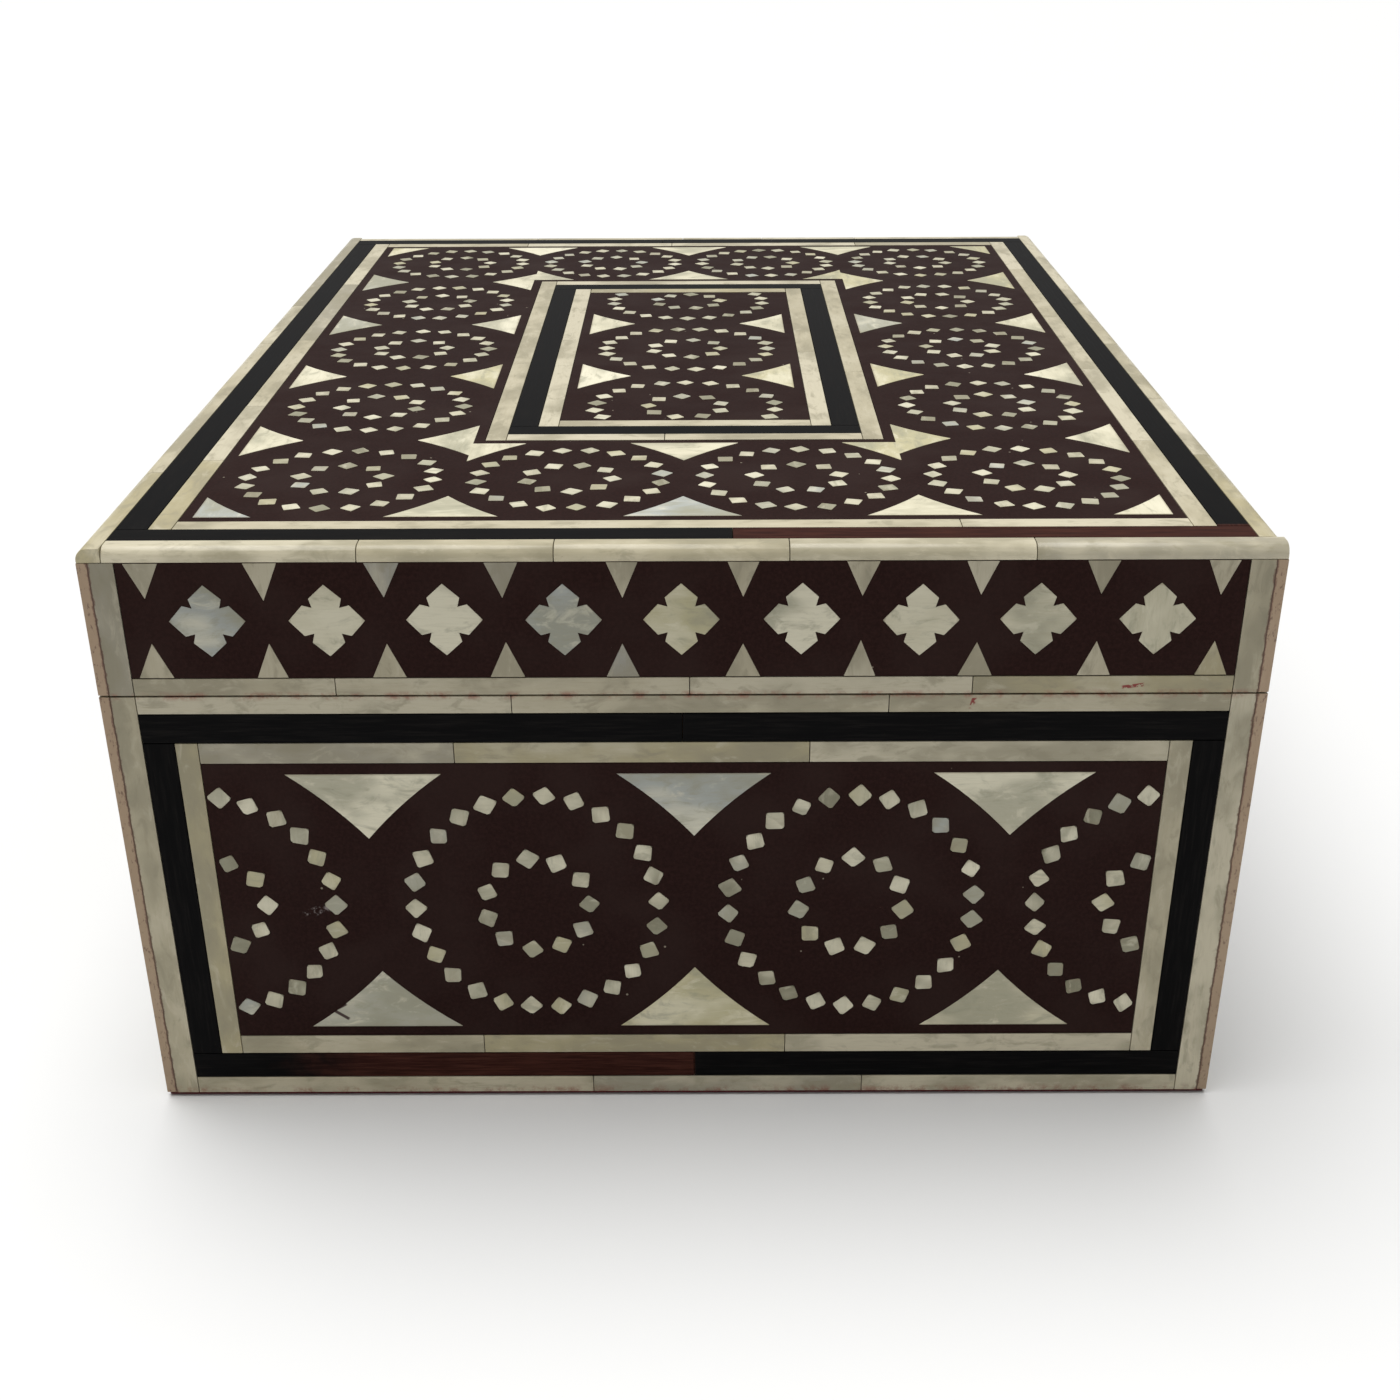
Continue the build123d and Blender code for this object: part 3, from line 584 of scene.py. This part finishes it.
def dress_box():
    """Materials for every CAD node; the bone on top of the lid is painted lighter and on the sides painted
    darker, as painted light and shade.
    """
    blacks = {
        "front_black_band": black_wood("front_black_wood", SIDE_SHINE, red_foot),
        "top_black_band": black_wood("top_black_wood", TOP_SHINE, red_top),
        "centre_black_band": black_wood("centre_black_wood", TOP_SHINE),
    }
    side_black = black_wood("side_black_wood", SIDE_SHINE)
    grounds = {"top": ground("top_ground", TOP_SHINE), "side": ground("side_ground", SIDE_SHINE)}
    # The side bone gets painted shade, and painted light that grows towards the foot.
    outer = bone("strip_bone", STRIP_TONES, SIDE_BONE_PAINTED_SHADE, stained, foot=FOOT_PAINTED_LIGHT)
    front_inlay = bone("front_inlay_bone", INLAY_TONES, SIDE_BONE_PAINTED_SHADE, cracked, foot=FOOT_PAINTED_LIGHT)
    kinds = (("frame", STRIP_TONES, 0.0), ("chip", CHIP_TONES, CHIP_RIM), ("inlay", INLAY_TONES, 0.0))
    # Lit and shaded copies of each bone: painted light on top of the lid, painted shade and foot light on the
    # sides.
    bones = {
        (kind, place): bone(f"{place}_{kind}_bone", tones, painted_light_level, rim=rim, foot=foot)
        for place, painted_light_level, foot in (("top", TOP_BONE_PAINTED_LIGHT, 0.0), ("side", SIDE_BONE_PAINTED_SHADE, FOOT_PAINTED_LIGHT))
        for kind, tones, rim in kinds
    }
    woods = {axis: plain_wood("carcass_" + axis.lower(), axis) for axis in WOOD_STRETCH}
    metal = brass("hinge_brass")
    for node in nodes:
        place = "top" if node.startswith(("top", "centre", "lid_edge")) else "side"
        if node.endswith("chips"):
            dress(node, bones["chip", place])
        elif node == "front_triangles":
            dress(node, front_inlay)
        elif node.endswith(("triangles", "quatrefoils")):
            dress(node, bones["inlay", place])
        elif node.endswith("ground"):
            dress(node, grounds[place])
        elif node.endswith("band"):
            dress(node, blacks.get(node, side_black))
        elif node.endswith(("frame", "bars")):
            dress(node, bones["frame", place])
        elif node.endswith("strips"):
            dress(node, outer)
        elif node.endswith(("wall", "rail", "board")):
            dress(node, woods["Y" if "left" in node or "right" in node or "board" in node else "X"])
        elif "hinge" in node:
            dress(node, metal)


# ---------------------------------------------------------------- eased edges
EASED = ("chips", "triangles", "quatrefoils", "strips", "bars", "frame", "band")
WELD_REACH = 0.02
EDGE_EASE = 0.1
EASE_STEPS = 2
EASE_ANGLE = 40
SIDE_CHIP_CORNER = 0.5
TOP_CHIP_CORNER = 0.25
GROUP_INPUT = "Socket_2"


def corner_picker():
    """A node group that gives the edges running along one axis a bevel weight of 1."""
    group = new_group("corner_picker", "Axis", "NodeSocketVector")

    def node(kind, **settings):
        made = group.nodes.new(kind)
        for name, value in settings.items():
            setattr(made, name, value)
        return made

    start, end = node("NodeGroupInput"), node("NodeGroupOutput")
    ends = node("GeometryNodeInputMeshEdgeVertices")
    run = node("ShaderNodeVectorMath", operation="SUBTRACT")
    unit = node("ShaderNodeVectorMath", operation="NORMALIZE")
    share = node("ShaderNodeVectorMath", operation="DOT_PRODUCT")
    size = node("ShaderNodeMath", operation="ABSOLUTE")
    chosen = node("ShaderNodeMath", operation="GREATER_THAN")
    chosen.inputs[1].default_value = 0.99
    store = node("GeometryNodeStoreNamedAttribute", data_type="FLOAT", domain="EDGE")
    store.inputs["Name"].default_value = "bevel_weight_edge"
    for source, socket in (
        (ends.outputs["Position 1"], run.inputs[0]),
        (ends.outputs["Position 2"], run.inputs[1]),
        (run.outputs["Vector"], unit.inputs[0]),
        (unit.outputs["Vector"], share.inputs[0]),
        (start.outputs["Axis"], share.inputs[1]),
        (share.outputs["Value"], size.inputs[0]),
        (size.outputs[0], chosen.inputs[0]),
        (start.outputs["Geometry"], store.inputs["Geometry"]),
        (chosen.outputs[0], store.inputs["Value"]),
        (store.outputs["Geometry"], end.inputs["Geometry"]),
    ):
        group.links.new(source, socket)
    return group


def ease(piece, width, by_weight=False):
    bevel = piece.modifiers.new("ease", "BEVEL")
    bevel.width = width * MM
    bevel.segments = EASE_STEPS
    bevel.limit_method = "WEIGHT" if by_weight else "ANGLE"
    bevel.angle_limit = math.radians(EASE_ANGLE)
    bevel.harden_normals = not by_weight


def use_group(piece, name, group, value):
    """Run a node group on a piece with one value for its own input."""
    modifier = piece.modifiers.new(name, "NODES")
    modifier.node_group = group
    modifier[GROUP_INPUT] = value


def ease_edges():
    """Weld and ease the edges of the bone and black pieces, round the chips, and mark each loose piece."""
    facts, picker = piece_facts(), corner_picker()
    for number, node in enumerate(sorted(nodes)):
        if not node.endswith(EASED):
            continue
        piece = nodes[node]
        weld = piece.modifiers.new("weld", "WELD")
        weld.merge_threshold = WELD_REACH * MM
        if node.endswith("chips"):
            on_side, on_front = node.startswith(("left", "right")), node.startswith(("front", "back"))
            on_top = not on_side and not on_front
            use_group(piece, "corners", picker, (float(on_side), float(on_front), float(on_top)))
            ease(piece, TOP_CHIP_CORNER if on_top else SIDE_CHIP_CORNER, by_weight=True)
        ease(piece, EDGE_EASE)
        use_group(piece, "facts", facts, number)


# ---------------------------------------------------------------- felt
FELT_CELL = 4.0
FELT_THICKNESS = 1.0
FELT_SOFT_EDGE = 0.22
FELT_WAVE = 0.1
FELT_WAVE_PITCH = 0.05
FELT_TRIM = 0.0012
FELT_TRIM_PITCH = 0.04
FELT_TRIM_LEVEL = 9
FELT_DRIFT = 50


def felt_sheet(name, node, size, bottom, seed):
    """A thin sheet of felt in place of a CAD node: gently uneven, soft at its edges, cut by hand."""
    luck = Random(seed)
    columns, rows = [round(side / FELT_CELL) for side in size]
    drift = Vector([luck.uniform(0, FELT_DRIFT) for axis in range(3)])
    mesh = bmesh.new()

    def vertex(column, row, upper):
        x = (column / columns - 0.5) * size[0]
        y = (row / rows - 0.5) * size[1]
        inset = min(size[0] / 2 - abs(x), size[1] / 2 - abs(y))
        soft = FELT_SOFT_EDGE * FELT_THICKNESS * max(0.0, 1 - inset / FELT_CELL) ** 2
        wave_share = (noise.noise(Vector((x, y, 0)) * FELT_WAVE_PITCH + drift) + 1) / 2
        wave = FELT_WAVE * FELT_THICKNESS * wave_share
        trim_place = Vector((x * FELT_TRIM_PITCH, y * FELT_TRIM_PITCH, FELT_TRIM_LEVEL))
        pull = 1 - FELT_TRIM * (1 + noise.noise(trim_place + drift)) / 2
        height = bottom + (FELT_THICKNESS - soft - wave if upper else soft)
        return mesh.verts.new((x * pull * MM, y * pull * MM, height * MM))

    low, high = [
        [[vertex(column, row, upper) for column in range(columns + 1)] for row in range(rows + 1)]
        for upper in (False, True)
    ]
    for row in range(rows):
        for column in range(columns):
            for layer, step in ((low, -1), (high, 1)):
                corners = [
                    layer[row][column],
                    layer[row][column + 1],
                    layer[row + 1][column + 1],
                    layer[row + 1][column],
                ]
                mesh.faces.new(corners[::step])
    under, over = [
        layer[0] + [line[-1] for line in layer[1:]] + layer[-1][-2::-1] + [line[0] for line in layer[-2:0:-1]]
        for layer in (low, high)
    ]
    for index, corner in enumerate(under):
        following = (index + 1) % len(under)
        mesh.faces.new((corner, under[following], over[following], over[index]))
    for face in mesh.faces:
        face.smooth = True
    data = bpy.data.meshes.new(name)
    mesh.to_mesh(data)
    mesh.free()
    sheet = bpy.data.objects.new(name, data)
    bpy.context.scene.collection.objects.link(sheet)
    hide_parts(node)
    return sheet


BASE_SIZE = (228.0, 304.0)
LINING_SIZE = (204.0, 280.0)
FELTS = (
    ("base_felt_sheet", "base_felt", BASE_SIZE, 0.0, "body", "base_felt", "base_board"),
    ("floor_felt_sheet", "floor_lining", LINING_SIZE, 7.0, "body", "lining_felt", "base_board"),
    ("lid_felt_sheet", "lid_lining", LINING_SIZE, 115.2, "lid", "lining_felt", "lid_board"),
)


def lay_felts():
    """The felt under the box and the linings of floor and lid."""
    red = felt("red_felt")
    for seed, (name, node, size, bottom, body, slot, under) in enumerate(FELTS):
        sheet = felt_sheet(name, node, size, bottom, seed)
        sheet.data.materials.append(red)
        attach(sheet, body)


make_camera()
make_studio()
dress_box()
ease_edges()
lay_felts()
